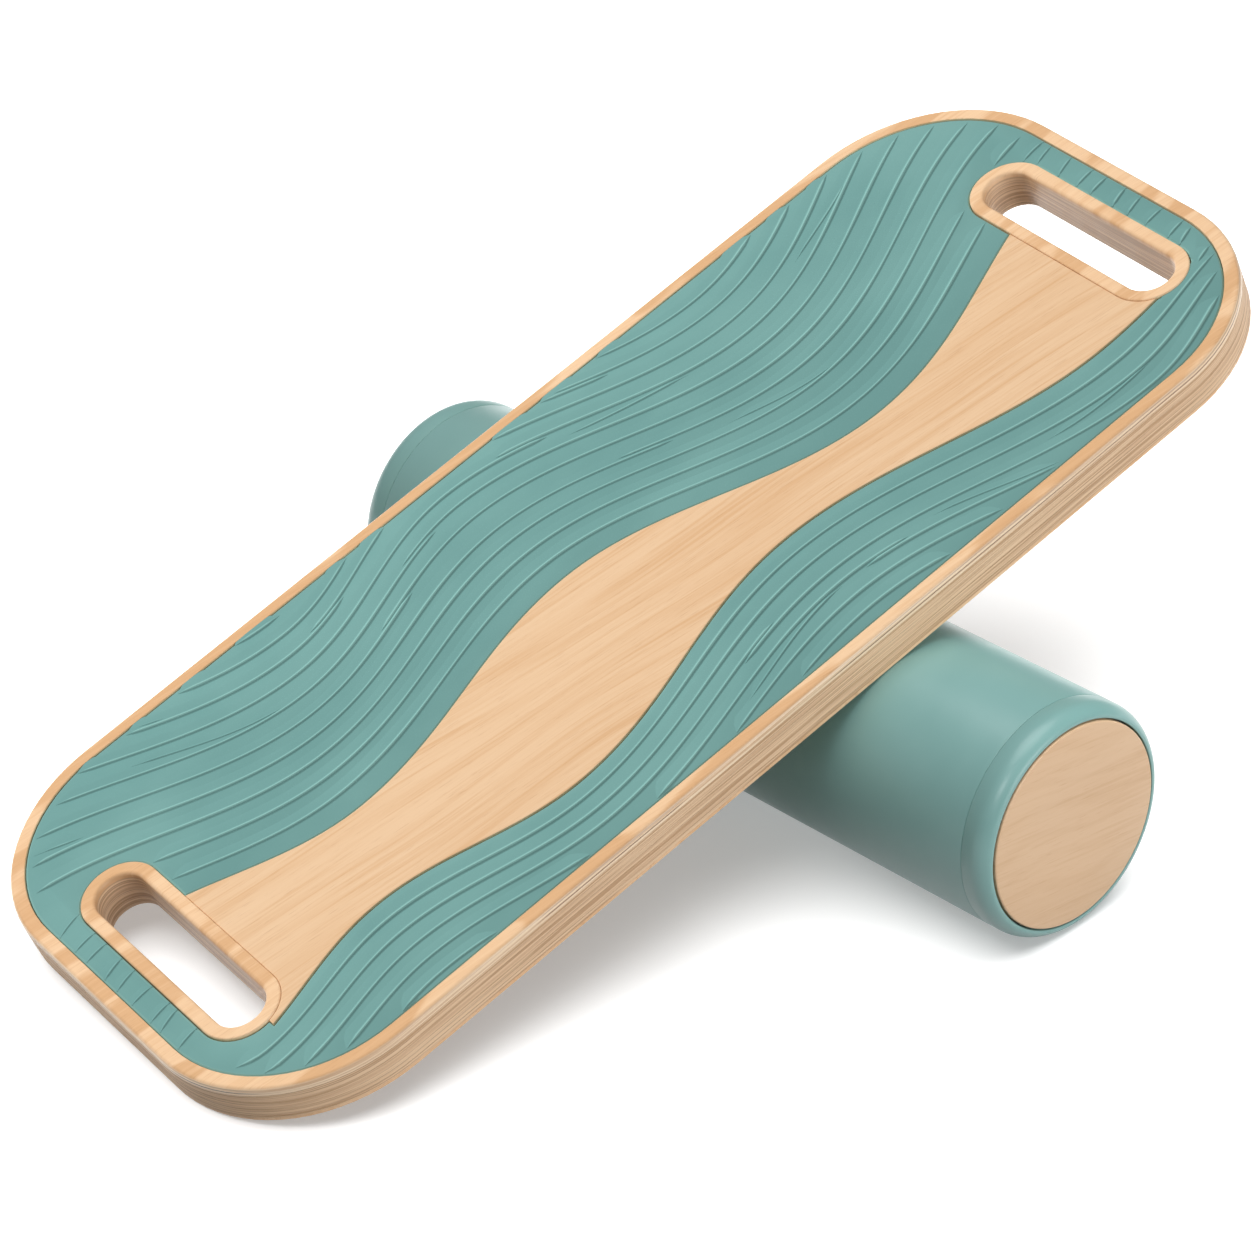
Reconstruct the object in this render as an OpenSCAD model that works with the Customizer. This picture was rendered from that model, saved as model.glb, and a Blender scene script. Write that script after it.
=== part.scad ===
// Roller balance board: a plywood deck with an inlaid grip mat, resting across a loose roller.
// Origin: on the floor, at the middle of the whole object seen from above.
// +X runs uphill along the deck, +Y along the roller, +Z up.
// The deck is drawn flat, centred on its underside, and then laid over the roller.

/* [Deck] */
// Length of the deck
deck_l = 700; // [660:5:760]
// Width of the deck
deck_w = 304; // [290:2:330]
// Thickness of the deck
deck_t = 25; // [22:0.5:30]
// Radius of the deck's corners, seen from above
corner_r = 90; // [80:1:100]
// Thickness of the inlaid top layer: rim, panel, handle rings and mat
face_t = 5; // [4.6:0.1:6]
// Width of the wooden rim around the mat
rim_w = 8.5; // [7:0.5:12]
// Roundover along the rim's top edge
top_edge_r = 2.5; // [1:0.1:2.5]
// Roundover along the underside's edge
under_edge_r = 1.2; // [0.5:0.1:1.2]

/* [Handles] */
// Distance from each end of the deck to the middle of its hand slot
slot_end = 46.5; // [44:0.5:52]
// Sideways shift of the slot at the low end
slot_low_y = -10; // [-20:1:0]
// Sideways shift of the slot at the raised end
slot_high_y = -19; // [-22:1:0]
// Width of a hand slot
slot_w = 28; // [26:1:32]
// Length of a hand slot
slot_l = 142; // [130:1:150]
// Wall of the wooden ring that lines a slot
ring_w = 8; // [6:0.5:10]
// Height of the ring above the deck's top
ring_rise = 0.6; // [0:0.1:1]

/* [Mat] */
// How far the mat's top lies below the rim
mat_recess = 0.3; // [0:0.1:1]
// Gap between the mat and the wood around it
mat_gap = 0.3; // [0.2:0.1:0.6]

/* [Stops] */
// Distance between a hand slot and the stop bar beside it, under the deck
stop_gap = 29.5; // [24:0.5:45]
// Length of a stop bar, across the deck
stop_l = 190; // [160:5:210]
// Width of a stop bar
stop_w = 20; // [18:1:24]
// Height of a stop bar
stop_h = 14; // [10:1:16]
// Distance between neighbouring stop screws
screw_pitch = 70; // [50:1:75]

/* [Roller] */
// Outside diameter of the roller
roller_d = 126; // [110:1:140]
// Length of the roller
roller_l = 480; // [440:5:540]
// Thickness of the rubber sleeve
sleeve_t = 4.5; // [3:0.5:6]
// Wall of the hard tube inside the sleeve
tube_wall = 5; // [4:0.5:8]
// Length of the rubber collar at each end
collar_l = 16; // [14:1:24]
// Radius of the arc along the collar's shoulder
shoulder_r = 12; // [10:1:14]
// Length of the collar's rounded shoulder
shoulder_l = 9.5; // [8:0.5:9.5]
// Depth of the collar's lip, in front of the tube
lip_l = 7; // [6.5:0.5:9]
// Width of the collar's end face around the wooden disc
lip_w = 6.5; // [6:0.5:7]
// How far the wooden disc stands out of the collar
disc_rise = 0.8; // [0:0.1:1.5]

/* [Resting position] */
// Where the roller crosses the deck's centre line, from the deck's middle towards the raised end
roller_offset = 31; // [20:1:60]
// How far the deck's centre line lies from the roller's middle, along the roller
deck_shift = 15; // [-20:1:25]
// Angle between the deck and square to the roller
skew = 7; // [0:0.5:10]

/* [Hidden] */
$fn = 96;
core_ply_count = 7;

face_color = "BurlyWood";
ply_colors = ["Tan", "Wheat"];
rubber_color = "CadetBlue";
tube_color = "DimGray";
screw_color = "Silver";

// Plies
ply_t = (deck_t - face_t) / (core_ply_count + 1);
face_z = deck_t - face_t;

// Hand slots and the rings that line them
slot_x = deck_l / 2 - slot_end;
slot_r = slot_w / 2;
slot_half = slot_l / 2 - slot_r;
ring_r = slot_r + ring_w;
ring_inner_edge_r = 2.2;
ring_outer_edge_r = 1;

// Stop bars and their countersunk screws
stop_x = slot_x - slot_r - stop_gap - stop_w / 2;
screw_r = 2;
screw_head_r = 4;
screw_head_t = 2.4;
drilled_plies = 4;
screw_clear = 0.05;
screw_end_gap = 1;

// Roller
roller_r = roller_d / 2;
tube_r = roller_r - sleeve_t;
tube_l = roller_l - 2 * lip_l;
disc_gap = 0.4;
disc_r = roller_r - lip_w - disc_gap;
plug_l = 12;

// The deck's low end rests on the floor and its underside on the roller's top line.
// Seen along the roller, reach is the distance from the roller's line on the deck
// to the deck's end, and contact_r the distance from the roller's axis to the underside.
ride_gap = 0.3;
contact_r = roller_r + ride_gap;
half_reach = (deck_l / 2 - corner_r) * cos(skew) + (deck_w / 2 - corner_r) * sin(skew) + corner_r;
low_reach = half_reach + roller_offset * cos(skew);
high_reach = half_reach - roller_offset * cos(skew);
function tilt_for(reach) =
    acos(-(roller_r - under_edge_r) / norm([contact_r + under_edge_r, reach - under_edge_r]))
    - atan2(reach - under_edge_r, contact_r + under_edge_r);
tilt = tilt_for(low_reach);

// The whole object's ends along X, measured from the roller's axis
top_z = contact_r + deck_t - top_edge_r;
under_z = contact_r + under_edge_r;
x_min = -(low_reach - top_edge_r) * cos(tilt) - top_z * sin(tilt) - top_edge_r;
x_max = (high_reach - under_edge_r) * cos(tilt) - under_z * sin(tilt) + under_edge_r;
roller_x = -(x_min + x_max) / 2;

echo(tilt = tilt, travel = tilt + tilt_for(high_reach), roller_x = roller_x);

// Edge waves of the wooden panel, as points where the curve turns level:
// the share of the way from the deck's middle to a hand slot, and the height in mm
upper_turns = [[-1.087, 28], [-0.616, -13], [-0.079, 23], [0.507, -30], [1.137, 26]];
lower_turns = [[-1.087, -97], [-0.728, -74], [-0.349, -98], [0.208, -58], [0.827, -98], [1.153, -90]];
panel_step = 6;
panel_end_x = slot_x - 4;

// Height of a smooth wave at that share of the way
function wave_part(a, b, x) = a[1] + (b[1] - a[1]) * (1 - cos(180 * (x - a[0]) / (b[0] - a[0]))) / 2;
function wave(turns, x) =
    [for (i = [0:len(turns) - 2]) if (x >= turns[i][0] && x < turns[i + 1][0])
        wave_part(turns[i], turns[i + 1], x)][0];

// A rectangle with round corners
module plate_outline(l, w, r) {
    square([l - 2 * r, w], center = true);
    square([l, w - 2 * r], center = true);
    for (x = [-1, 1], y = [-1, 1])
        translate([x * (l / 2 - r), y * (w / 2 - r)]) circle(r);
}

// A slot's outline, lying along Y
module slot_outline(half, r) {
    square([2 * r, 2 * half], center = true);
    for (y = [-1, 1])
        translate([0, y * half]) circle(r);
}

// A drawn edge section, X outwards from 0, carried around a plate's outline
module plate_edge(l, w, r) {
    for (turn = [0:90:270]) {
        a = turn % 180 == 0 ? l : w;
        b = turn % 180 == 0 ? w : l;
        rotate([0, 0, turn]) {
            translate([a / 2, b / 2 - r, 0]) rotate([90, 0, 0]) linear_extrude(b - 2 * r) children();
            translate([a / 2 - r, b / 2 - r, 0]) rotate_extrude(angle = 90) translate([r, 0]) children();
        }
    }
}

// The same around a slot
module slot_edge(half, r) {
    for (turn = [0, 180])
        rotate([0, 0, turn]) {
            translate([r, half, 0]) rotate([90, 0, 0]) linear_extrude(2 * half) children();
            translate([0, half, 0]) rotate_extrude(angle = 180) translate([r, 0]) children();
        }
}

// Edge section with its outer top corner rounded
module rounded_section(wide, high, r) {
    translate([-wide, 0]) square([wide, high - r]);
    translate([-wide, 0]) square([wide - r, high]);
    translate([-r, high - r]) circle(r);
}

module at_slots() {
    translate([-slot_x, slot_low_y]) children();
    translate([slot_x, slot_high_y]) children();
}

// The wooden panel's outline, widened by gap; it ends against the handle rings
module panel_outline(gap = 0) {
    steps = ceil(2 * panel_end_x / panel_step);
    xs = [for (i = [0:steps]) panel_end_x * (2 * i / steps - 1)];
    difference() {
        polygon(concat(
            [for (x = xs) [x, wave(upper_turns, x / slot_x) + gap]],
            [for (i = [steps:-1:0]) [xs[i], wave(lower_turns, xs[i] / slot_x) - gap]]
        ));
        at_slots() slot_outline(slot_half, ring_r);
    }
}

// Lays what is drawn in the deck's own flat position over the roller
module on_roller() {
    translate([roller_x, 0, roller_r])
        rotate([0, -tilt, 0])
            translate([0, deck_shift, contact_r])
                rotate([0, 0, -skew])
                    translate([-roller_offset, 0, 0])
                        children();
}

module stop_screw_spots(end) {
    for (i = [-1:1])
        translate([end * stop_x, i * screw_pitch, 0]) children();
}

// Deck, from the top down

module rim_frame() {
    color(face_color) on_roller()
        translate([0, 0, face_z])
            plate_edge(deck_l, deck_w, corner_r) rounded_section(rim_w, face_t, top_edge_r);
}

module center_panel() {
    color(face_color) on_roller()
        translate([0, 0, face_z]) linear_extrude(face_t) panel_outline();
}

// A ring lines its hand slot through the whole deck
module handle_ring(x, y) {
    h = deck_t + ring_rise;
    r = ring_inner_edge_r;
    color(face_color) on_roller()
        translate([x, y, 0])
            slot_edge(slot_half, ring_r) {
                rounded_section(ring_w - r, h, ring_outer_edge_r);
                translate([-ring_w, r]) square([ring_w - ring_outer_edge_r, h - 2 * r]);
                for (z = [r, h - r])
                    translate([r - ring_w, z]) circle(r);
            }
}

module grip_mat() {
    inset = 2 * (rim_w + mat_gap);
    color(rubber_color) on_roller()
        translate([0, 0, face_z]) linear_extrude(face_t - mat_recess)
            difference() {
                plate_outline(deck_l - inset, deck_w - inset, corner_r - inset / 2);
                panel_outline(mat_gap);
                at_slots() slot_outline(slot_half, ring_r + mat_gap);
            }
}

module ply_blank(drilled) {
    difference() {
        children();
        translate([0, 0, -1]) linear_extrude(deck_t) at_slots() slot_outline(slot_half, ring_r);
        if (drilled)
            for (end = [-1, 1])
                stop_screw_spots(end) cylinder(h = deck_t, r = screw_r + screw_clear, center = true);
    }
}

// Core plies are counted from the top; the lowest ones take the stop screws
module core_ply(i) {
    color(ply_colors[i % 2]) on_roller()
        translate([0, 0, face_z - i * ply_t])
            ply_blank(i > core_ply_count + 1 - drilled_plies)
                linear_extrude(ply_t) plate_outline(deck_l, deck_w, corner_r);
}

module base_veneer() {
    edge_band = 4 * under_edge_r;
    color(face_color) on_roller()
        ply_blank(true) {
            linear_extrude(ply_t)
                plate_outline(deck_l - 2 * edge_band, deck_w - 2 * edge_band, corner_r - edge_band);
            translate([0, 0, ply_t]) mirror([0, 0, 1])
                plate_edge(deck_l, deck_w, corner_r) rounded_section(edge_band, ply_t, under_edge_r);
        }
}

// Under the deck

module stop_bar(end) {
    bar_r = stop_w / 2;
    color(face_color) on_roller()
        difference() {
            translate([end * stop_x, 0, -stop_h])
                linear_extrude(stop_h) slot_outline(stop_l / 2 - bar_r, bar_r);
            stop_screw_spots(end) {
                cylinder(h = 3 * stop_h, r = screw_r + screw_clear, center = true);
                translate([0, 0, -stop_h]) screw_head(screw_clear);
            }
        }
}

// A countersunk head with its flat face down at z = 0
module screw_head(clear = 0) {
    cylinder(h = screw_head_t + clear, r1 = screw_head_r + clear, r2 = screw_r + clear);
}

module stop_screw() {
    length = stop_h + drilled_plies * ply_t - screw_end_gap;
    recess_r = 1.6;
    difference() {
        union() {
            screw_head();
            cylinder(h = length, r = screw_r);
        }
        translate([0, 0, -1]) cylinder(h = 1 + screw_head_t / 2, r = recess_r, $fn = 6);
    }
}

module stop_screws(end) {
    color(screw_color) on_roller()
        stop_screw_spots(end) translate([0, 0, -stop_h]) stop_screw();
}

// Roller, drawn along Z from its middle and turned to lie along Y

module lying_roller() {
    translate([roller_x, 0, roller_r]) rotate([90, 0, 0]) children();
}

module core_tube() {
    color(tube_color) lying_roller()
        difference() {
            cylinder(h = tube_l, r = tube_r, center = true);
            cylinder(h = tube_l + 2, r = tube_r - tube_wall, center = true);
        }
}

module roller_sleeve() {
    sleeve_l = roller_l - 2 * collar_l;
    color(rubber_color) lying_roller()
        difference() {
            cylinder(h = sleeve_l, r = roller_r, center = true);
            cylinder(h = sleeve_l + 2, r = tube_r, center = true);
        }
}

// end is 1 for the near end and -1 for the far one
module end_collar(end) {
    color(rubber_color) lying_roller()
        mirror([0, 0, end < 0 ? 1 : 0])
            translate([0, 0, roller_l / 2 - collar_l])
                rotate_extrude() {
                    translate([tube_r, 0]) square([sleeve_t, collar_l - shoulder_l]);
                    intersection() {
                        translate([roller_r - shoulder_r, collar_l - shoulder_l]) circle(shoulder_r);
                        union() {
                            translate([tube_r, collar_l - shoulder_l])
                                square([sleeve_t, shoulder_l - lip_l]);
                            translate([roller_r - lip_w, collar_l - lip_l]) square([lip_w, lip_l]);
                        }
                    }
                }
}

module end_disc(end) {
    face_l = lip_l + disc_rise;
    edge_r = 1;
    color(face_color) lying_roller()
        mirror([0, 0, end < 0 ? 1 : 0]) {
            translate([0, 0, tube_l / 2 - plug_l]) cylinder(h = plug_l, r = tube_r - tube_wall);
            translate([0, 0, tube_l / 2])
                rotate_extrude() {
                    square([disc_r, face_l - edge_r]);
                    square([disc_r - edge_r, face_l]);
                    translate([disc_r - edge_r, face_l - edge_r]) circle(edge_r);
                }
        }
}

rim_frame();
center_panel();
handle_ring(-slot_x, slot_low_y);  // handle_ring_low
handle_ring(slot_x, slot_high_y);  // handle_ring_high
grip_mat();
for (i = [1:core_ply_count])
    core_ply(i);
base_veneer();
stop_bar(-1);  // stop_bar_low
stop_bar(1);  // stop_bar_high
stop_screws(-1);  // stop_screws_low
stop_screws(1);  // stop_screws_high
core_tube();
roller_sleeve();
end_collar(1);  // end_collar_near
end_collar(-1);  // end_collar_far
end_disc(1);  // end_disc_near
end_disc(-1);  // end_disc_far
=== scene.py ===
import math
import bmesh
import bpy
from mathutils import Matrix, Vector


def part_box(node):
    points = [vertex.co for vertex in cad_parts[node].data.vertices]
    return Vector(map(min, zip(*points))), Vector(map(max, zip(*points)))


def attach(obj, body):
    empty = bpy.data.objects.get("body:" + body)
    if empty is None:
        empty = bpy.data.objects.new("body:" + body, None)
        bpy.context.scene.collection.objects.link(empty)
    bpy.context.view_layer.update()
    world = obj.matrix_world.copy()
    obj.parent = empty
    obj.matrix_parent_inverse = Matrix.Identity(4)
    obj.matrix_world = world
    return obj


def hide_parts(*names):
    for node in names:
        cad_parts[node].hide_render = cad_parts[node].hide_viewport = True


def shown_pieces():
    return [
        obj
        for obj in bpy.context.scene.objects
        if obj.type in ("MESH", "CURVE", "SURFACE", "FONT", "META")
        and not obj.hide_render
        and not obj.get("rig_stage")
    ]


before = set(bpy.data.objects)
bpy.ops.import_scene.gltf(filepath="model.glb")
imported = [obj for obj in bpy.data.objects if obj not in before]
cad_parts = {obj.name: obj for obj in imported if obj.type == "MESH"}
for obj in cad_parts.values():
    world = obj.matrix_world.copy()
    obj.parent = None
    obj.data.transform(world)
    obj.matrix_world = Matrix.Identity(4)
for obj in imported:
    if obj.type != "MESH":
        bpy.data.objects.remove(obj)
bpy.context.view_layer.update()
print("frame loaded")

# The deck and how it lies on the roller, in metres and radians
deck = {
    "length": 0.700,
    "width": 0.304,
    "thickness": 0.025,
    "cornerRadius": 0.090,
    "rimWidth": 0.0085,
    "plyThickness": 0.0025,
    "matRecess": 0.0003,
    "matGap": 0.0003,
    "underEdge": 0.0012,
    "skew": math.radians(7),
    "rollerOffset": 0.031,
    "sidewaysShift": 0.015,
    "rideGap": 0.0003,
}
# the two hand slots' middles, and the ring round each
slots = {
    "distance": 0.3035,
    "lowY": -0.010,
    "highY": -0.019,
    "halfStraight": 0.057,
    "ringRadius": 0.022,
}
# the roller's place and sizes come from its own CAD nodes
sleeveLow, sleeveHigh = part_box("roller_sleeve")
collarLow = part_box("end_collar_near")[0]
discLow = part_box("end_disc_near")[0]
roller = {
    "x": (sleeveLow.x + sleeveHigh.x) / 2,
    "radius": (sleeveHigh.z - sleeveLow.z) / 2,
    "sleeveEnd": sleeveHigh.y,
    "end": -collarLow.y,
    "discEnd": -discLow.y,
}


def deckTilt():
    # the deck's low end touches the floor while its underside lies on the roller
    high = roller["radius"] + deck["rideGap"] + deck["underEdge"]
    straight = (deck["length"] / 2 - deck["cornerRadius"]) * math.cos(deck["skew"])
    straight += (deck["width"] / 2 - deck["cornerRadius"]) * math.sin(deck["skew"])
    reach = straight + deck["cornerRadius"] + deck["rollerOffset"] * math.cos(deck["skew"])
    reach -= deck["underEdge"]
    drop = math.acos((deck["underEdge"] - roller["radius"]) / math.hypot(high, reach))
    return drop - math.atan2(reach, high)


def turned(angle, axis):
    return Matrix.Rotation(angle, 4, axis)


deckPlace = (
    Matrix.Translation((roller["x"], 0, roller["radius"]))
    @ turned(-deckTilt(), "Y")
    @ Matrix.Translation((0, deck["sidewaysShift"], roller["radius"] + deck["rideGap"]))
    @ turned(-deck["skew"], "Z")
    @ Matrix.Translation((-deck["rollerOffset"], 0, 0))
)
deckFlat = deckPlace.inverted()  # carries the deck back to lying flat round the origin


def alone(piece):
    # selects one piece and nothing else
    bpy.ops.object.select_all(action="DESELECT")
    piece.select_set(True)
    bpy.context.view_layer.objects.active = piece


def startEdit(piece, kind="FACE"):
    alone(piece)
    bpy.ops.object.mode_set(mode="EDIT")
    bpy.ops.mesh.select_mode(type=kind)
    bpy.ops.mesh.select_all(action="SELECT")


def endEdit():
    bpy.ops.object.mode_set(mode="OBJECT")


def chooseEdges(piece, test):
    # in edit mode: selects the edges that pass the test
    bpy.ops.mesh.select_mode(type="EDGE")
    bpy.ops.mesh.select_all(action="DESELECT")
    shell = bmesh.from_edit_mesh(piece.data)
    for line in shell.edges:
        line.select_set(test(line))
    shell.select_flush(True)
    bmesh.update_edit_mesh(piece.data)


def copyNode(node, name):
    # a merged copy of one of the deck's CAD nodes, laid flat
    alone(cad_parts[node])
    bpy.ops.object.duplicate()
    piece = bpy.context.view_layer.objects.active
    piece.name = name
    piece.data.name = name
    piece.parent = None
    for key in [key for key in piece.keys() if key.startswith("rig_")]:
        del piece[key]
    piece.data.materials.clear()
    piece.data.transform(deckFlat)
    startEdit(piece)
    bpy.ops.mesh.customdata_custom_splitnormals_clear()
    bpy.ops.mesh.remove_doubles(threshold=0.00002)
    bpy.ops.mesh.dissolve_limited(angle_limit=math.radians(0.4))
    bpy.ops.mesh.normals_make_consistent(inside=False)
    endEdit()
    return piece


def roundEdges(piece, width, angle):
    # a narrow bevel on every edge sharper than the angle
    alone(piece)
    rounding = piece.modifiers.new("rounding", "BEVEL")
    rounding.width = width
    rounding.segments = 1
    rounding.limit_method = "ANGLE"
    rounding.angle_limit = math.radians(angle)
    rounding.use_clamp_overlap = False
    bpy.ops.object.modifier_apply(modifier=rounding.name)


def roundTop(piece, height, width, steps):
    # rounds the sharp edges that lie at one height of a flat piece
    startEdit(piece)
    chooseEdges(
        piece,
        lambda line: all(point.co.z > height - 0.00005 for point in line.verts)
        and line.calc_face_angle(0) > math.radians(60),
    )
    bpy.ops.mesh.bevel(offset=width, segments=steps, affect="EDGES")
    endEdit()


def finishPiece(piece, body, node, material, smooth=35):
    # puts a deck piece back in its place, then shades the piece and ties it to its body
    onDeck = body == "deck"
    if onDeck:
        piece.data.transform(deckPlace)
    alone(piece)
    bpy.ops.object.shade_smooth_by_angle(angle=math.radians(smooth))
    if onDeck and piece.name != "gripMat":
        # flat faces stay flat next to their rounded edges
        level = piece.modifiers.new("level", "WEIGHTED_NORMAL")
        level.keep_sharp = True
        level.weight = 80
        bpy.ops.object.modifier_apply(modifier=level.name)
    piece.data.materials.clear()
    piece.data.materials.append(material)
    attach(piece, body)
    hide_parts(node)


def fromScreen(red, green, blue):
    # a colour as a screen shows it, 0 to 255, as linear light
    def channel(value):
        share = value / 255
        return share / 12.92 if share <= 0.04045 else ((share + 0.055) / 1.055) ** 2.4
    return (channel(red), channel(green), channel(blue), 1)


class Wire:
    # one value on its way through a material's nodes
    def __init__(self, finish, socket):
        self.finish = finish
        self.socket = socket

    def math(self, operation, *others):
        made = self.finish.add("ShaderNodeMath", {"operation": operation})
        for place, value in enumerate((self,) + others):
            self.finish.feed(made.inputs[place], value)
        return Wire(self.finish, made.outputs[0])

    def __add__(self, other):
        return self.math("ADD", other)

    def __radd__(self, other):
        return self.math("ADD", other)

    def __mul__(self, other):
        return self.math("MULTIPLY", other)

    def __rmul__(self, other):
        return self.math("MULTIPLY", other)

    def __sub__(self, other):
        return self.math("SUBTRACT", other)

    def __rsub__(self, other):
        return (self * -1) + other

    def __truediv__(self, other):
        return self.math("DIVIDE", other)

    def between(self, low, high):
        # 0 below low, 1 above high, smooth between
        made = self.finish.add(
            "ShaderNodeMapRange",
            {"interpolation_type": "SMOOTHSTEP"},
            {"Value": self, "From Min": low, "From Max": high},
        )
        return Wire(self.finish, made.outputs["Result"])


class Finish:
    # one material under construction
    def __init__(self, name):
        self.material = bpy.data.materials.new(name)
        self.material.use_nodes = True
        self.tree = self.material.node_tree
        self.tree.nodes.clear()
        self.output = self.add("ShaderNodeOutputMaterial")
        self.shader = self.add("ShaderNodeBsdfPrincipled")
        self.tree.links.new(self.shader.outputs[0], self.output.inputs["Surface"])
        self.place = self.add("ShaderNodeTexCoord").outputs["Object"]

    def add(self, kind, settings=None, values=None):
        made = self.tree.nodes.new(kind)
        for key, value in (settings or {}).items():
            setattr(made, key, value)
        for key, value in (values or {}).items():
            self.feed(made.inputs[key], value)
        return made

    def feed(self, socket, value):
        if isinstance(value, Wire):
            value = value.socket
        if isinstance(value, bpy.types.NodeSocket):
            self.tree.links.new(value, socket)
        else:
            socket.default_value = value

    def layFlat(self, matrix):
        # pattern coordinates in the flat deck's or the roller's own position
        made = self.add("ShaderNodeMapping", {"vector_type": "POINT"}, {"Vector": self.place})
        made.inputs["Location"].default_value = matrix.to_translation()
        made.inputs["Rotation"].default_value = matrix.to_euler("XYZ")
        self.place = made.outputs[0]

    def stretched(self, x, y, z, vector=None):
        made = self.add("ShaderNodeVectorMath", {"operation": "MULTIPLY"})
        self.feed(made.inputs[0], self.place if vector is None else vector)
        made.inputs[1].default_value = (x, y, z)
        return made.outputs[0]

    def noise(self, x, y, z, detail=3.0, roughness=0.5, distortion=0.0, vector=None):
        made = self.add(
            "ShaderNodeTexNoise",
            {},
            {
                "Vector": self.stretched(x, y, z, vector),
                "Scale": 1.0,
                "Detail": detail,
                "Roughness": roughness,
                "Distortion": distortion,
            },
        )
        return Wire(self, made.outputs["Fac"])

    def axes(self):
        made = self.add("ShaderNodeSeparateXYZ")
        self.feed(made.inputs[0], self.place)
        return [Wire(self, made.outputs[index]) for index in range(3)]

    def point(self, x, y, z):
        return self.add("ShaderNodeCombineXYZ", {}, {"X": x, "Y": y, "Z": z}).outputs[0]

    def blendColours(self, amount, low, high):
        made = self.add("ShaderNodeMix", {"data_type": "RGBA"})
        self.feed(made.inputs[0], amount)
        self.feed(made.inputs[6], low)
        self.feed(made.inputs[7], high)
        return made.outputs[2]

    def relief(self, height, distance, strength):
        made = self.add("ShaderNodeBump", {}, {"Height": height})
        made.inputs["Strength"].default_value = strength
        made.inputs["Distance"].default_value = distance
        self.feed(self.shader.inputs["Normal"], made.outputs[0])

    def surface(self, **values):
        for key, value in values.items():
            self.feed(self.shader.inputs[key.replace("_", " ")], value)


wood = {
    "pale": fromScreen(243, 206, 166),
    "warm": fromScreen(229, 184, 138),
    "tan": fromScreen(204, 154, 106),
    "discPale": fromScreen(219, 185, 149),
    "discWarm": fromScreen(203, 164, 123),
    "deep": fromScreen(186, 134, 90),
    "glue": fromScreen(112, 76, 50),
    "grainTurn": math.radians(-8),
}
# colours of the deck's sawn edges
edge = {
    "cream": fromScreen(255, 229, 196),
    "light": fromScreen(241, 208, 172),
    "middle": fromScreen(219, 182, 146),
    "dark": fromScreen(196, 158, 122),
}


def veneerTone(finish, streak, figure, blocks=0.0):
    # a face veneer: fine pores along the grain, soft wavy figure and broad streaks
    x, y, z = finish.axes()
    cosine = math.cos(wood["grainTurn"])
    sine = math.sin(wood["grainTurn"])
    along = x * cosine + y * sine
    across = y * cosine - x * sine
    grain = finish.point(along, across, z)
    sway = finish.noise(4, 13, 4, 1.0, vector=grain)
    pores = finish.noise(60, 1500, 200, 2.0, 0.6, vector=grain)
    wavy = finish.point(along, across + (sway - 0.5) * 0.03, z)
    fibres = finish.noise(9, 340, 40, 3.0, 0.65, vector=wavy)
    rings = ((sway * 26 + across * 330).math("SINE") * 0.5 + 0.5).between(0.55, 1.0)
    broad = finish.noise(3, 34, 4, 1.0, vector=grain)
    threads = finish.noise(8, 430, 40, 1.0, 0.6, 0.3, vector=wavy).between(0.54, 0.66)
    tone = broad.between(0.3, 0.7) * streak + rings * figure + (fibres - 0.5) * 1.7
    tone = tone + threads * 0.4
    if blocks:
        # short lengths of rim show their own shade where the grain runs across them
        patch = finish.noise(14, 44, 5, 1.0).between(0.46, 0.54)
        tone = tone + patch * blocks
    body = finish.blendColours(tone.between(-0.3, 1.15), wood["pale"], wood["warm"])
    if blocks:
        body = finish.blendColours(patch * fibres * blocks * 0.85, body, wood["tan"])
    fleck = pores.between(0.58, 0.72) * 0.3
    return finish.blendColours(fleck, body, wood["deep"]), fibres, pores


def lacquered(finish, colour, fibres):
    # satin clear lacquer, a little uneven along the fibres
    finish.surface(Base_Color=colour, Roughness=0.42 + (fibres - 0.5) * 0.2)
    finish.surface(Coat_Roughness=0.3, Coat_Weight=0.12, Specular_IOR_Level=0.4)


def faceWood(name, streak, figure):
    finish = Finish(name)
    finish.layFlat(deckFlat)
    colour, fibres, pores = veneerTone(finish, streak, figure)
    lacquered(finish, colour, fibres)
    finish.relief(pores * 0.6 + fibres * 0.4, 0.00012, 0.6)
    return finish.material


def layeredTone(finish, light, dark):
    # sawn plywood edge: long streaks in each ply, dark uneven glue lines between plies
    z = finish.axes()[2]
    waver = (finish.noise(26, 26, 90, 2.0) - 0.5) * 0.0007
    level = (z + waver) / deck["plyThickness"]
    share = level.math("FRACT")
    fromGlue = (share - 0.5).math("ABSOLUTE") * -1 + 0.5
    uneven = finish.noise(18, 18, 260, 2.0).between(0.38, 0.62)
    glue = (1 - fromGlue.between(0.02, 0.08)) * (uneven * 0.42 + 0.1)
    which = level.math("FLOOR").math("MODULO", 2.0).math("ABSOLUTE")
    streaks = finish.noise(9, 9, 1150, 2.0, 0.7)
    tone = streaks.between(0.36, 0.64) * 1.2 + which * 0.12
    body = finish.blendColours(tone.between(0.0, 1.2), light, dark)
    return finish.blendColours(glue, body, wood["glue"]), streaks, glue


def edgeWood(name, light, dark):
    finish = Finish(name)
    finish.layFlat(deckFlat)
    colour, streaks, glue = layeredTone(finish, light, dark)
    finish.surface(Base_Color=colour, Roughness=0.5 + streaks * 0.15)
    finish.surface(Specular_IOR_Level=0.35)
    finish.relief(streaks * 0.5 - glue * 0.8, 0.0002, 0.5)
    return finish.material


# heights in the flat deck: two fine grooves, and where the top veneer ends
rimLook = {"groove": 0.0219, "shoulder": 0.0237, "topFrom": 0.0238, "topTo": 0.0247}


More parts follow.
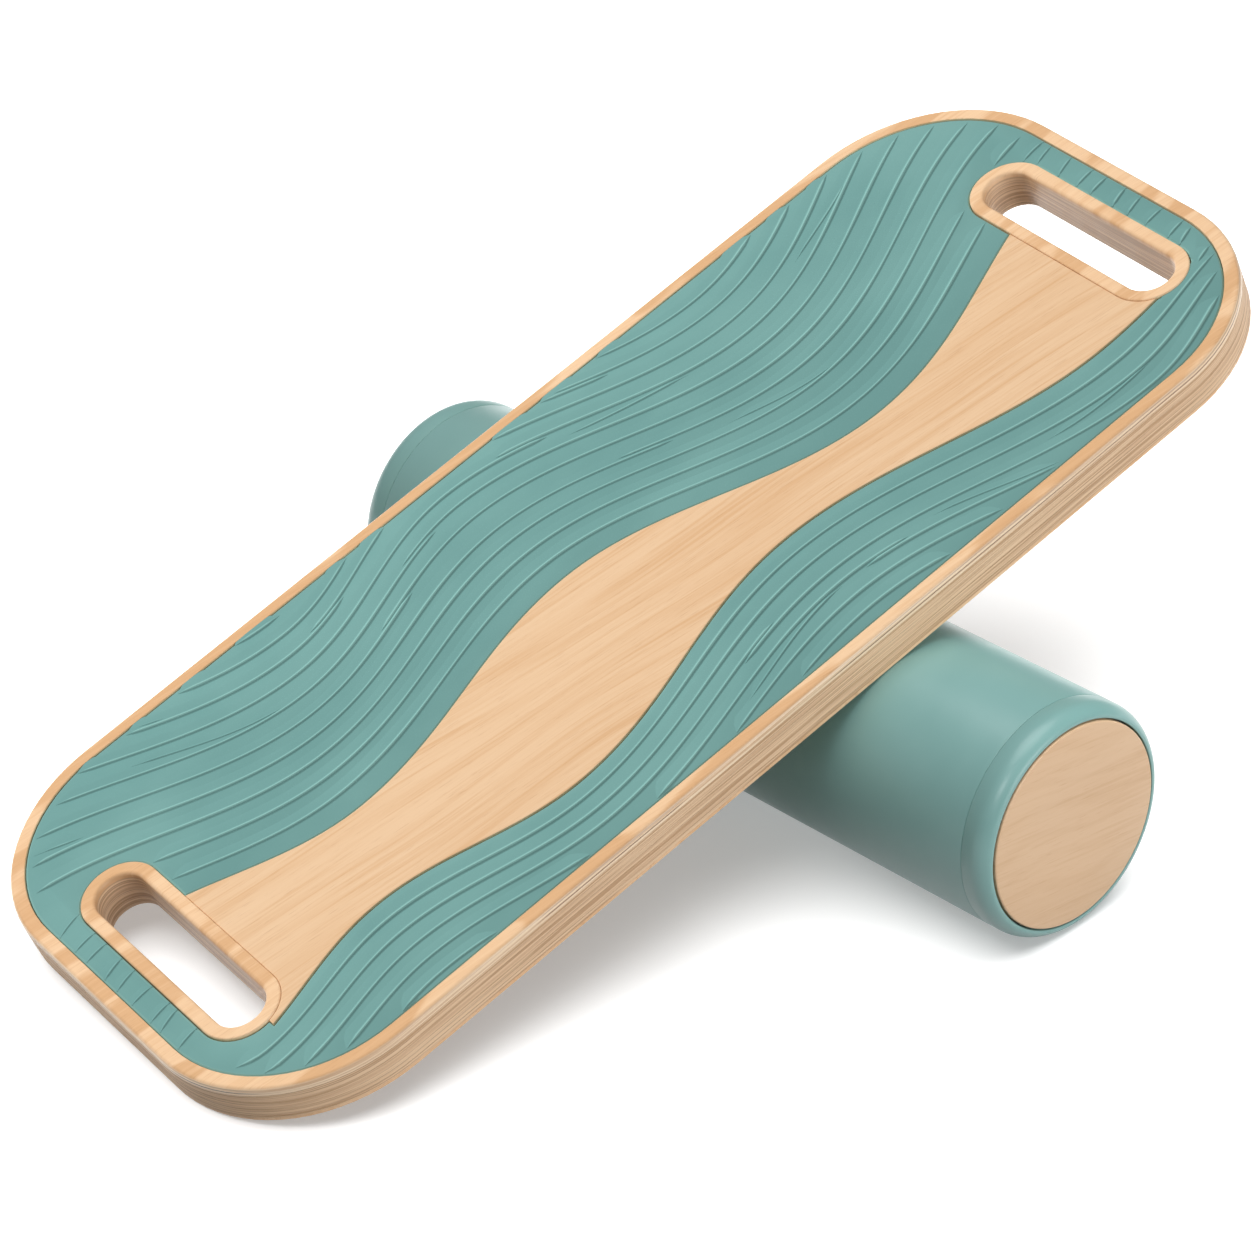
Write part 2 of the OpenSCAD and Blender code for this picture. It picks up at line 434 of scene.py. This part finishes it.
def rimWood(name):
    # the face layer on top, the same layer's sawn side below its rounded edge
    finish = Finish(name)
    finish.layFlat(deckFlat)
    z = finish.axes()[2]
    top, fibres, pores = veneerTone(finish, 0.3, 0.1, 0.75)
    streaks = finish.noise(9, 9, 1000, 2.0, 0.7)
    side = finish.blendColours(streaks.between(0.38, 0.66), edge["cream"], edge["middle"])
    wavering = z + (finish.noise(9, 9, 60, 2.0) - 0.5) * 0.0006
    line = (wavering - rimLook["groove"]).math("ABSOLUTE")
    broken = finish.noise(11, 11, 30, 1.0).between(0.48, 0.56)
    groove = (1 - line.between(0.0002, 0.00045)) * broken
    shoulder = (wavering - rimLook["shoulder"]).math("ABSOLUTE")
    groove = groove + (1 - shoulder.between(0.0001, 0.0004)) * broken * 0.45
    upper = wavering.between(rimLook["topFrom"], rimLook["topTo"])
    colour = finish.blendColours(upper, side, top)
    colour = finish.blendColours(groove * 0.8, colour, wood["glue"])
    lacquered(finish, colour, fibres)
    finish.relief(pores * 0.3 + fibres * 0.3 - groove, 0.00015, 0.6)
    return finish.material


ringLook = {"topFrom": 0.0216, "topTo": 0.0226}  # heights where the top veneer ends


def ringWood(name):
    # veneer on top, plies showing down the slot's wall
    finish = Finish(name)
    finish.layFlat(deckFlat)
    z = finish.axes()[2]
    top, fibres, pores = veneerTone(finish, 0.3, 0.1, 0.65)
    wall, streaks, glue = layeredTone(finish, edge["light"], edge["dark"])
    upper = z.between(ringLook["topFrom"], ringLook["topTo"])
    colour = finish.blendColours(upper, wall, top)
    lacquered(finish, colour, fibres)
    finish.relief(fibres * 0.4 + streaks * 0.3 - glue * (1 - upper), 0.00018, 0.6)
    return finish.material


rubber = {
    "matLight": fromScreen(124, 171, 166),
    "matDark": fromScreen(111, 158, 154),
    # a pale colour painted on ridge crests and mat borders as a highlight
    "crestHighlight": fromScreen(148, 196, 189),
    "rollerLight": fromScreen(131, 173, 169),
    "rollerDark": fromScreen(121, 164, 160),
    # heights in the flat deck: the painted highlight covers the mat's rounded border below the
    # first pair and each ridge's crest above the second
    "borderFrom": 0.0243,
    "borderTo": 0.02468,
    "crestFrom": 0.02518,
    "crestTo": 0.0255,
}


def rubberSkin(name, light, dark, roughness, grainDepth, matrix, paintedHighlights=False):
    finish = Finish(name)
    finish.layFlat(matrix)
    cloud = finish.noise(9, 14, 9, 3.0)
    haze = finish.noise(60, 60, 60, 2.0)
    colour = finish.blendColours(cloud.between(0.3, 0.7) * 0.7 + haze * 0.3, light, dark)
    if paintedHighlights:
        # painted highlight: the rubber is painted pale along the top of each ridge and along the
        # mat's rounded borders
        height = finish.axes()[2]
        border = 1 - height.between(rubber["borderFrom"], rubber["borderTo"])
        crestHighlight = height.between(rubber["crestFrom"], rubber["crestTo"])
        # strength of the painted highlight on the crests and on the borders
        pale = crestHighlight * 0.72 + border * 0.75
        colour = finish.blendColours(pale, colour, rubber["crestHighlight"])
    fine = finish.noise(2600, 2600, 2600, 2.0, 0.6)
    smear = finish.noise(40, 120, 40, 2.0)
    finish.surface(Base_Color=colour, Roughness=roughness + (smear - 0.5) * 0.12)
    finish.surface(Specular_IOR_Level=0.42)
    finish.relief(fine * 0.7 + haze * 0.3, grainDepth, 0.5)
    return finish.material


def discWood(name):
    # gently wavy grain lying nearly level across the disc
    finish = Finish(name)
    spot = (roller["x"], 0, roller["radius"])
    finish.layFlat(turned(math.radians(-9), "Y") @ Matrix.Translation(spot).inverted())
    sway = finish.noise(10, 4, 24, 1.0)
    z = finish.axes()[2]
    rings = ((sway * 17 + z * 420).math("SINE") * 0.5 + 0.5).between(0.6, 1.0)
    fibres = finish.noise(26, 100, 560, 3.0, 0.65)
    pores = finish.noise(80, 400, 1400, 2.0, 0.6)
    broad = finish.noise(6, 4, 44, 1.0).between(0.3, 0.7)
    threads = finish.noise(13, 50, 300, 1.0, 0.6, 0.9).between(0.55, 0.68)
    tone = rings * 0.2 + broad * 0.3 + (fibres - 0.5) * 0.6 + threads * 0.28
    colour = finish.blendColours(tone.between(-0.2, 1.2), wood["discPale"], wood["discWarm"])
    colour = finish.blendColours(pores.between(0.6, 0.75) * 0.25, colour, wood["deep"])
    finish.surface(Base_Color=colour, Roughness=0.45 + (fibres - 0.5) * 0.2)
    finish.surface(Coat_Roughness=0.3, Coat_Weight=0.1, Specular_IOR_Level=0.4)
    finish.relief(fibres * 0.5 + pores * 0.5, 0.00012, 0.5)
    return finish.material


def steel(name):
    finish = Finish(name)
    brush = finish.noise(900, 900, 900, 3.0)
    finish.surface(Base_Color=(0.55, 0.55, 0.54, 1), Metallic=1.0, Roughness=0.28 + brush * 0.15)
    finish.relief(brush, 0.00004, 0.4)
    return finish.material


def tubePlastic(name):
    finish = Finish(name)
    fine = finish.noise(700, 700, 700, 2.0)
    colour = finish.blendColours(fine, fromScreen(96, 98, 100), fromScreen(112, 114, 116))
    finish.surface(Base_Color=colour, Roughness=0.5 + fine * 0.1)
    finish.relief(fine, 0.00008, 0.4)
    return finish.material


rimFinish = rimWood("rimWood")
panelFinish = faceWood("panelWood", 0.32, 0.26)
ringFinish = ringWood("ringWood")
plyLight = edgeWood("plyLight", edge["light"], edge["middle"])
plyDark = edgeWood("plyDark", edge["light"], edge["dark"])
baseFinish = faceWood("baseWood", 0.5, 0.4)
matFinish = rubberSkin(
    "matRubber", rubber["matLight"], rubber["matDark"], 0.5, 0.0001, deckFlat, paintedHighlights=True
)
rollerTurn = Matrix.Translation((-roller["x"], 0, -roller["radius"]))
sleeveFinish = rubberSkin(
    "sleeveRubber", rubber["rollerLight"], rubber["rollerDark"], 0.33, 0.00005, rollerTurn
)
discFinish = discWood("discWood")
screwFinish = steel("screwSteel")
tubeFinish = tubePlastic("tubePlastic")
print("materials ready")

# Wooden deck pieces, from the top down
rimPiece = {"innerEdge": 0.0007}
rim = copyNode("rim_frame", "rimFrame")
roundTop(rim, deck["thickness"], rimPiece["innerEdge"], 2)
finishPiece(rim, "deck", "rim_frame", rimFinish)

panelPiece = {"edge": 0.001}
panel = copyNode("center_panel", "centerPanel")
roundTop(panel, deck["thickness"], panelPiece["edge"], 2)
finishPiece(panel, "deck", "center_panel", panelFinish)

for end in ("low", "high"):
    ring = copyNode("handle_ring_" + end, "handleRing" + end.capitalize())
    finishPiece(ring, "deck", "handle_ring_" + end, ringFinish)

plies = {"count": 7, "edge": 0.00012}
for number in range(1, plies["count"] + 1):
    node = "core_ply_" + str(number)
    ply = copyNode(node, "corePly" + str(number))
    roundEdges(ply, plies["edge"], 60)
    odd = number % 2 == 1
    finishPiece(ply, "deck", node, plyDark if odd else plyLight)

base = copyNode("base_veneer", "baseVeneer")
finishPiece(base, "deck", "base_veneer", baseFinish)
print("wooden deck pieces ready")

# Grip mat with its raised ridges
mat = {
    "top": deck["thickness"] - deck["matRecess"],
    "edge": 0.0017,
    "margin": 0.0013,
    "step": 0.004,
    "taper": 0.007,
    "endHeight": 0.12,
    "unevenness": 0.14,
    "fewestPoints": 6,
    # from here on in millimetres: a ridge's section, as across and up
    "profile": [
        (-8.5, -0.05), (-7.5, 0.03), (-5.5, 0.12), (-3.5, 0.18), (-1.8, 0.21), (-1.2, 0.46),
        (-0.5, 0.84), (0.0, 0.94), (0.35, 0.82), (0.9, 0.36), (1.3, 0.08), (1.8, -0.05),
        (1.8, -0.4), (-8.5, -0.4),
    ],
    "reach": 352,
    "upperCount": 12,
    "lowerCount": 6,
    "slip": 14,
    "slipDrift": 0.1,
    # where a ridge breaks off beside its next part, by its count from the panel
    "upperSlips": {4: 60, 5: -95, 6: -60, 7: 20, 8: -120, 9: 70, 10: -150},
    "lowerSlips": {3: 10, 4: 90},
    # short extra ridges: from and to along the deck, then the count at each end
    "upperForks": [
        (-300, -215, 8.5, 8.1),
        (-250, -170, 6.45, 6.05),
        (40, 110, 6.5, 6.9),
        (200, 262, 7.55, 7.1),
        (100, 165, 3.5, 3.1),
        (-340, -290, 4.5, 4.2),
    ],
    "lowerForks": [(-20, 60, 4.5, 4.1), (120, 185, 3.5, 3.9), (190, 260, 2.5, 2.1)],
    "forkStrength": 0.72,
}
# short ridges across the strip beyond each slot: place along, first across, how many, height
shortRidge = {
    "high": (325.3, -94, 11, 1.0),
    "low": (-341.5, -66, 9, 0.75),
    "pitch": 14.5,
    "start": -3,
    "length": 22.4,
    "bow": 1.2,
    "steps": 16,
    "taper": 0.004,
    "margin": 0.0003,
}
# the panel's two wavy edges, as turns along and across the deck
panelWaves = {
    "upper": [(-1.087, 28), (-0.616, -13), (-0.079, 23), (0.507, -30), (1.137, 26)],
    "lower": [
        (-1.087, -97), (-0.728, -74), (-0.349, -98), (0.208, -58), (0.827, -98), (1.153, -90),
    ],
}


def easedWave(turns, x):
    # height at x of a curve that runs level at each of its turns
    for start, stop in zip(turns[:-1], turns[1:]):
        if start[0] <= x < stop[0]:
            share = (1 - math.cos(math.pi * (x - start[0]) / (stop[0] - start[0]))) / 2
            return start[1] + (stop[1] - start[1]) * share
    return turns[-1][1]


def upperRidge(count, x):
    # ridges above the panel, counted from it, in mm
    turns = [
        (-mat["reach"], 33 + 19 * count),
        (-192 + 5.5 * count, -12 + 15.2 * count),
        (-27, 24 + 15.4 * count),
        (152 - 0.5 * count, -29 + 15.6 * count),
        (mat["reach"], 30 + 18.5 * count),
    ]
    return easedWave(turns, x)


def lowerRidge(count, x):
    # ridges below the panel
    turns = [
        (-mat["reach"], -84 - 6 * count),
        (-312, -92 - 12.2 * count),
        (-224, -75 - 12.7 * count),
        (-110, -98 - 11.4 * count),
        (60, -58.5 - 12.6 * count),
        (250, -98 - 14 * count),
        (mat["reach"], -86 - 9 * count),
    ]
    return easedWave(turns, x)


def onRubber(x, y, margin):
    # whether a point, in metres, lies on the mat and clear of its borders
    border = deck["rimWidth"] + deck["matGap"] + margin
    radius = deck["cornerRadius"] - border
    sideX = abs(x) - (deck["length"] / 2 - deck["cornerRadius"])
    sideY = abs(y) - (deck["width"] / 2 - deck["cornerRadius"])
    if math.hypot(max(sideX, 0), max(sideY, 0)) > radius:
        return False
    for side, slotY in ((-1, slots["lowY"]), (1, slots["highY"])):
        awayY = max(abs(y - slotY) - slots["halfStraight"], 0)
        if math.hypot(x - side * slots["distance"], awayY) < slots["ringRadius"] + margin:
            return False
    if abs(x) < slots["distance"]:
        upper = easedWave(panelWaves["upper"], x / slots["distance"]) / 1000
        lower = easedWave(panelWaves["lower"], x / slots["distance"]) / 1000
        return y > upper + margin or y < lower - margin
    return True


def ridgeSection():
    # a low crest on a wide gentle swell, closed underneath, with its foot in the rubber
    line = bpy.data.curves.new("ridgeSection", "CURVE")
    line.dimensions = "2D"
    points = mat["profile"]
    spline = line.splines.new("POLY")
    spline.points.add(len(points) - 1)
    for spot, (across, up) in zip(spline.points, points):
        spot.co = (across / 1000, up / 1000, 0, 1)
    spline.use_cyclic_u = True
    made = bpy.data.objects.new("ridgeSection", line)
    bpy.context.scene.collection.objects.link(made)
    return made


def ridgeRuns(path, margin):
    # the stretches of a path that lie on the rubber
    runs = [[]]
    for x, y in path:
        if onRubber(x, y, margin):
            runs[-1].append((x, y))
        elif runs[-1]:
            runs.append([])
    return [run for run in runs if len(run) >= mat["fewestPoints"]]


def layRidges(section, paths):
    # one mesh of all the ridges, each thinning out towards its ends
    line = bpy.data.curves.new("ridges", "CURVE")
    line.dimensions = "3D"
    line.twist_mode = "Z_UP"
    line.bevel_mode = "OBJECT"
    line.bevel_object = section
    line.use_fill_caps = True
    foot = mat["endHeight"]
    for path, strength, taper, margin in paths:
        for run in ridgeRuns(path, margin):
            spline = line.splines.new("POLY")
            spline.points.add(len(run) - 1)
            travelled = [0.0]
            for before, after in zip(run[:-1], run[1:]):
                travelled.append(travelled[-1] + math.dist(before, after))
            for spot, (x, y), distance in zip(spline.points, run, travelled):
                fromEnd = min(distance, travelled[-1] - distance) / taper
                rise = min(1, fromEnd)
                rise = rise * rise * (3 - 2 * rise)
                swell = 1 + mat["unevenness"] * math.sin(x * 31 + y * 57)
                spot.co = (x, y, mat["top"], 1)
                spot.radius = strength * swell * (foot + (1 - foot) * rise)
    made = bpy.data.objects.new("ridges", line)
    bpy.context.scene.collection.objects.link(made)
    alone(made)
    bpy.ops.object.convert(target="MESH")
    return bpy.context.view_layer.objects.active


def ridgePath(family, start, stop, countStart, countStop):
    # a ridge that keeps or slowly changes its place in the family
    steps = int((stop - start) / (mat["step"] * 1000))
    path = []
    for index in range(steps + 1):
        share = index / steps
        x = start + (stop - start) * share
        count = countStart + (countStop - countStart) * share * share * (3 - 2 * share)
        path.append((x / 1000, family(count, x) / 1000))
    return path


def ridgeFamily(family, total, slips, forks):
    # whole ridges, ridges that stop beside the start of their next part, and short forks
    made = []
    reach, drift = mat["reach"], mat["slipDrift"]
    for count in range(1, total + 1):
        if count in slips:
            at = slips[count]
            made.append(ridgePath(family, -reach, at + mat["slip"], count, count - drift))
            made.append(ridgePath(family, at - mat["slip"], reach, count + drift, count))
        else:
            made.append(ridgePath(family, -reach, reach, count, count))
    paths = [(path, 1.0, mat["taper"], mat["margin"]) for path in made]
    for start, stop, countStart, countStop in forks:
        path = ridgePath(family, start, stop, countStart, countStop)
        paths.append((path, mat["forkStrength"], mat["taper"] * 2, mat["margin"]))
    return paths


def crossRidges(x, startY, total, strength):
    # each a little apart from even spacing, slant and height
    paths = []
    for index in range(total):
        y = startY + index * shortRidge["pitch"] + 2.5 * math.sin(index * 2.3)
        lean = 5 + 3 * math.sin(index * 1.7)
        path = []
        for step in range(shortRidge["steps"] + 1):
            share = step / shortRidge["steps"]
            along = x + shortRidge["start"] + shortRidge["length"] * share
            across = y + lean * share + shortRidge["bow"] * math.sin(math.pi * share)
            path.append((along / 1000, across / 1000))
        height = strength * (0.85 + 0.15 * math.cos(index))
        paths.append((path, height, shortRidge["taper"], shortRidge["margin"]))
    return paths


ridgePaths = ridgeFamily(upperRidge, mat["upperCount"], mat["upperSlips"], mat["upperForks"])
ridgePaths += ridgeFamily(lowerRidge, mat["lowerCount"], mat["lowerSlips"], mat["lowerForks"])
ridgePaths += crossRidges(*shortRidge["high"]) + crossRidges(*shortRidge["low"])
section = ridgeSection()
ridges = layRidges(section, ridgePaths)
bpy.data.objects.remove(section)

gripMat = copyNode("grip_mat", "gripMat")
roundTop(gripMat, mat["top"], mat["edge"], 3)
bpy.ops.object.select_all(action="DESELECT")
ridges.select_set(True)
gripMat.select_set(True)
bpy.context.view_layer.objects.active = gripMat
bpy.ops.object.join()
finishPiece(gripMat, "deck", "grip_mat", matFinish, 21)
print("grip mat ready,", len(gripMat.data.polygons), "faces")

# Stop bars and screws under the deck
screwPiece = {"edge": 0.00015}
for end in ("low", "high"):
    bar = copyNode("stop_bar_" + end, "stopBar" + end.capitalize())
    finishPiece(bar, "deck", "stop_bar_" + end, baseFinish)
    screws = copyNode("stop_screws_" + end, "stopScrews" + end.capitalize())
    roundEdges(screws, screwPiece["edge"], 30)
    finishPiece(screws, "deck", "stop_screws_" + end, screwFinish)
print("stop bars ready")

lathe = {"segments": 192}  # sides of each round piece of the roller


def ringAlong(name, stations, closed=True):
    # a roller piece: a circle round its axis, carried from station to station
    startY, startRadius = stations[0]
    bpy.ops.object.select_all(action="DESELECT")
    bpy.ops.mesh.primitive_circle_add(
        vertices=lathe["segments"],
        radius=startRadius,
        location=(roller["x"], startY, roller["radius"]),
        rotation=(math.pi / 2, 0, 0),
    )
    piece = bpy.context.view_layer.objects.active
    piece.name = name
    piece.data.name = name
    bpy.ops.object.transform_apply(location=True, rotation=True, scale=True)
    startEdit(piece, "EDGE")
    y, radius = startY, startRadius
    for nextY, nextRadius in stations[1:]:
        bpy.ops.mesh.extrude_region_move(
            TRANSFORM_OT_translate={"value": (0, nextY - y, 0)}
        )
        size = nextRadius / radius
        bpy.ops.transform.resize(
            value=(size, 1, size), center_override=(roller["x"], nextY, roller["radius"])
        )
        y, radius = nextY, nextRadius
    if closed:
        bpy.ops.mesh.select_all(action="SELECT")
        bpy.ops.mesh.remove_doubles(threshold=0.00001)
    else:
        bpy.ops.mesh.edge_face_add()  # closes the far end
        chooseEdges(piece, lambda line: line.is_boundary)
        bpy.ops.mesh.edge_face_add()
    bpy.ops.mesh.select_all(action="SELECT")
    bpy.ops.mesh.normals_make_consistent(inside=False)
    endEdit()
    return piece


sleeve = {"wall": 0.0045, "lead": 0.0007, "leadDrop": 0.00045}
outer = roller["radius"]
inner = outer - sleeve["wall"]
endY = roller["sleeveEnd"]
sleevePiece = ringAlong(
    "rollerSleeve",
    [
        (-endY, inner),
        (-endY, outer - sleeve["leadDrop"]),
        (-endY + sleeve["lead"] / 3, outer - sleeve["leadDrop"] / 4),
        (-endY + sleeve["lead"], outer),
        (0, outer),
        (endY - sleeve["lead"], outer),
        (endY - sleeve["lead"] / 3, outer - sleeve["leadDrop"] / 4),
        (endY, outer - sleeve["leadDrop"]),
        (endY, inner),
        (-endY, inner),
    ],
)
finishPiece(sleevePiece, "roller", "roller_sleeve", sleeveFinish, 30)

collar = {
    "length": 0.016,
    "shoulderRadius": 0.012,
    "shoulderLength": 0.0095,
    "lipDepth": 0.007,
    "lipWidth": 0.0065,
    "arcSteps": 10,
    "frontRound": 0.0005,
    "lipRound": 0.0003,
}


def collarStations():
    # heights from the sleeve's end outwards, with their radii, round the whole section
    stations = [(0, inner), (0, outer - sleeve["leadDrop"])]
    stations += [(sleeve["lead"] / 3, outer - sleeve["leadDrop"] / 4), (sleeve["lead"], outer)]
    arcStart = collar["length"] - collar["shoulderLength"]
    sweep = math.asin(collar["shoulderLength"] / collar["shoulderRadius"])
    for step in range(collar["arcSteps"] + 1):
        angle = sweep * step / collar["arcSteps"]
        height = arcStart + collar["shoulderRadius"] * math.sin(angle)
        stations.append((height, outer - collar["shoulderRadius"] * (1 - math.cos(angle))))
    front = collar["length"]
    frontRadius = stations.pop()[1]
    lip = outer - collar["lipWidth"]
    stations.append((front - collar["frontRound"] * 0.24, frontRadius - collar["frontRound"] * 0.2))
    stations.append((front, frontRadius - collar["frontRound"]))
    stations.append((front, lip + collar["lipRound"]))
    stations.append((front - collar["lipRound"], lip))
    tubeStop = front - collar["lipDepth"]
    stations += [(tubeStop, lip), (tubeStop, inner), (0, inner)]
    return stations


disc = {
    "gap": 0.001,
    "edge": 0.001,
    "edgeSteps": 4,
    "plug": 0.012,
    "tubeWall": 0.005,
    "innerRing": 0.5,
}


def discStations():
    # from the plug's end outwards
    face = roller["discEnd"]
    radius = outer - collar["lipWidth"] - disc["gap"]
    plugRadius = inner - disc["tubeWall"]
    tubeEnd = roller["end"] - collar["lipDepth"]
    stations = [(tubeEnd - disc["plug"], plugRadius), (tubeEnd, plugRadius), (tubeEnd, radius)]
    for step in range(disc["edgeSteps"] + 1):
        angle = math.pi / 2 * step / disc["edgeSteps"]
        height = face - disc["edge"] * (1 - math.sin(angle))
        stations.append((height, radius - disc["edge"] * (1 - math.cos(angle))))
    stations.append((face, radius * disc["innerRing"]))
    return stations


for end, side in (("near", -1), ("far", 1)):
    title = end.capitalize()
    stations = [(side * (roller["sleeveEnd"] + y), radius) for y, radius in collarStations()]
    piece = ringAlong("endCollar" + title, stations)
    finishPiece(piece, "roller", "end_collar_" + end, sleeveFinish, 30)
    stations = [(side * y, radius) for y, radius in discStations()]
    piece = ringAlong("endDisc" + title, stations, closed=False)
    finishPiece(piece, "roller", "end_disc_" + end, discFinish, 30)

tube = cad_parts["core_tube"]
tube.data.materials.clear()
tube.data.materials.append(tubeFinish)
print("roller ready")

camera = {
    "lens": 139.87,
    "sensor": 36,
    "farClip": 50,
    "place": (-1.3398, -1.6451, 1.4473),
    "turn": (57.595, 5.148, -41.957),
}
bpy.ops.object.select_all(action="DESELECT")
bpy.ops.object.camera_add(
    location=camera["place"], rotation=[math.radians(angle) for angle in camera["turn"]]
)
eye = bpy.context.view_layer.objects.active
eye.data.lens = camera["lens"]
eye.data.sensor_width = camera["sensor"]
eye.data.clip_end = camera["farClip"]
bpy.context.scene.camera = eye

lights = {
    "key": {"place": (-1.3, 3.2, 3.6), "size": 2.4, "power": 242},
    "fill": {"place": (0.4, -3.9, 1.0), "size": 2.4, "power": 98},
    "top": {"place": (0.2, -0.2, 4.0), "size": 3.0, "power": 118},
    "kicker": {"place": (-2.6, -1.6, 2.8), "size": 0.5, "power": 36},
    "overhead": {"place": (0.1, 0.4, 5.0), "size": 8.0, "power": 950},
}
aimPoint = Vector((0, 0, 0.1))
for name, light in lights.items():
    bpy.ops.object.light_add(type="AREA", location=light["place"])
    lamp = bpy.context.view_layer.objects.active
    lamp.name = name
    lamp.data.size = light["size"]
    lamp.data.energy = light["power"]
    aim = aimPoint - Vector(light["place"])
    lamp.rotation_euler = aim.to_track_quat("-Z", "Y").to_euler()
bpy.data.objects["key"].visible_glossy = False  # the deck's top stays matt
bpy.data.objects["kicker"].visible_diffuse = False  # only a highlight on the roller

studio = {"above": 0.32, "below": 0.15, "blend": 0.1}  # even light, weaker from below
sky = bpy.data.worlds.new("studio")
sky.use_nodes = True
tree = sky.node_tree
background = tree.nodes["Background"]
direction = tree.nodes.new("ShaderNodeTexCoord")
parts = tree.nodes.new("ShaderNodeSeparateXYZ")
shade = tree.nodes.new("ShaderNodeMapRange")
shade.inputs["From Min"].default_value = -studio["blend"]
shade.inputs["From Max"].default_value = studio["blend"]
shade.inputs["To Min"].default_value = studio["below"]
shade.inputs["To Max"].default_value = studio["above"]
tree.links.new(direction.outputs["Generated"], parts.inputs[0])
tree.links.new(parts.outputs["Z"], shade.inputs["Value"])
tree.links.new(shade.outputs["Result"], background.inputs["Strength"])
background.inputs["Color"].default_value = (1, 1, 1, 1)
bpy.context.scene.world = sky
bpy.context.scene.view_settings.view_transform = "Standard"

floorSheet = {"size": 30, "glow": 0.32, "drop": 0.0003, "tone": 0.78}
bpy.ops.mesh.primitive_plane_add(size=floorSheet["size"], location=(0, 0, -floorSheet["drop"]))
floor = bpy.context.view_layer.objects.active
floor.name = "floor"
floor.visible_diffuse = False  # it sends no light back up to the object
paper = Finish("floorPaper")
grain = paper.noise(3, 3, 3, 2.0)
paper.surface(Base_Color=[floorSheet["tone"]] * 3 + [1], Roughness=0.85 + grain * 0.05)
paper.surface(Specular_IOR_Level=0.1, Emission_Color=(1, 1, 1, 1))
paper.surface(Emission_Strength=floorSheet["glow"])
floor.data.materials.append(paper.material)
floor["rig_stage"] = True

# what each lamp reaches: the floor has its own overhead one, and no other lamp lights it
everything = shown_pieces()
rollerPieces = [piece for piece in everything if piece.name.startswith(("roller", "end"))]
rollerRubber = [piece for piece in everything if piece.name.startswith(("roller", "endCollar"))]
lit = {
    "key": [piece for piece in everything if piece not in rollerRubber],
    "fill": [piece for piece in everything if piece not in (gripMat, panel)],
    "top": rollerPieces,
    "kicker": rollerPieces,
    "overhead": [floor],
}
for name, reached in lit.items():
    group = bpy.data.collections.new("litBy" + name.capitalize())
    for piece in reached:
        group.objects.link(piece)
    bpy.data.objects[name].light_linking.receiver_collection = group
print("camera, light and floor ready")
